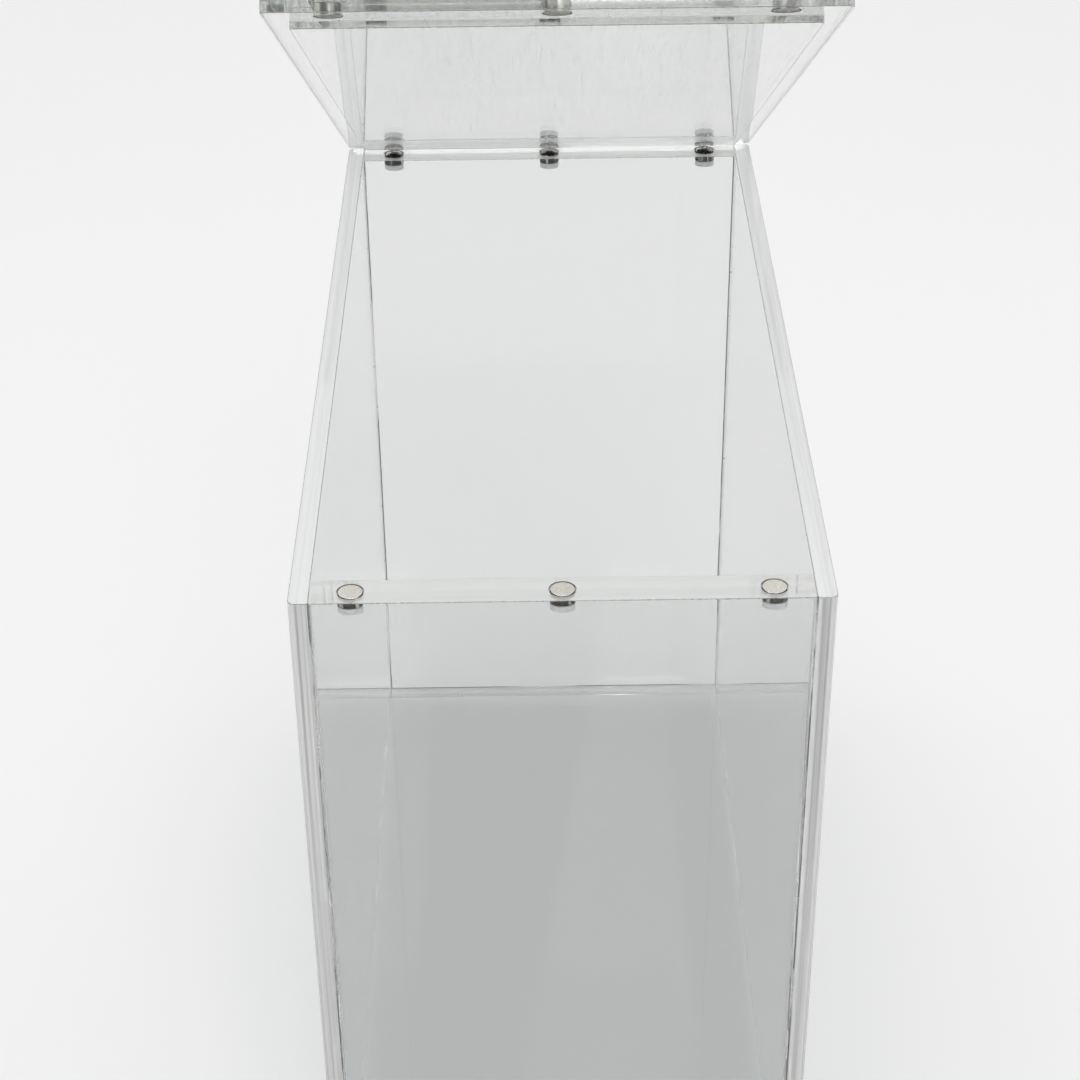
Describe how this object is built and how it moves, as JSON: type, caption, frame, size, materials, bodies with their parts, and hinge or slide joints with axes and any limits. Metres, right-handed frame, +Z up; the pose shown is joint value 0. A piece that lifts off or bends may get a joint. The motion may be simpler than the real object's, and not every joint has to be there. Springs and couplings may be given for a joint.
{
  "type": "acrylic display box",
  "caption": "Clear acrylic display box with thick end walls and a loose lid that locates inside the rim and is held shut by small disc magnets.",
  "frame": {"origin": "centre of the underside of the base panel", "axes": "+Z up, front wall facing -Y, +X to the right as seen from the front, the lid tilts open about the back"},
  "size_m": [0.106, 0.2146, 0.2896],
  "materials": {
    "clear_acrylic": "clear cast sheet, polished faces, sawn and lightly polished edges",
    "nickel_plate": "bright nickel plate",
    "adhesive": "cured clear adhesive with a frosted look"
  },
  "bodies": {
    "box": {"base_panel": "clear_acrylic", "front_wall": "clear_acrylic", "back_wall": "clear_acrylic", "left_wall": "clear_acrylic", "right_wall": "clear_acrylic", "front_wall_magnet_left": "nickel_plate", "front_wall_magnet_centre": "nickel_plate", "front_wall_magnet_right": "nickel_plate", "back_wall_magnet_left": "nickel_plate", "back_wall_magnet_centre": "nickel_plate", "back_wall_magnet_right": "nickel_plate", "front_wall_adhesive_left": "adhesive", "front_wall_adhesive_centre": "adhesive", "front_wall_adhesive_right": "adhesive", "back_wall_adhesive_left": "adhesive", "back_wall_adhesive_centre": "adhesive", "back_wall_adhesive_right": "adhesive"},
    "lid": {"lid_panel": "clear_acrylic", "lid_locating_plate": "clear_acrylic", "lid_front_magnet_left": "nickel_plate", "lid_front_magnet_centre": "nickel_plate", "lid_front_magnet_right": "nickel_plate", "lid_back_magnet_left": "nickel_plate", "lid_back_magnet_centre": "nickel_plate", "lid_back_magnet_right": "nickel_plate", "lid_front_adhesive_left": "adhesive", "lid_front_adhesive_centre": "adhesive", "lid_front_adhesive_right": "adhesive", "lid_back_adhesive_left": "adhesive", "lid_back_adhesive_centre": "adhesive", "lid_back_adhesive_right": "adhesive"}
  },
  "joints": [
    {"name": "lid_tilt", "type": "hinge", "parent": "box", "child": "lid", "pos_m": [0, 0.106, 0.178], "axis": [-1, 0, 0], "range_deg": [-30.4, 59.6]}
  ]
}
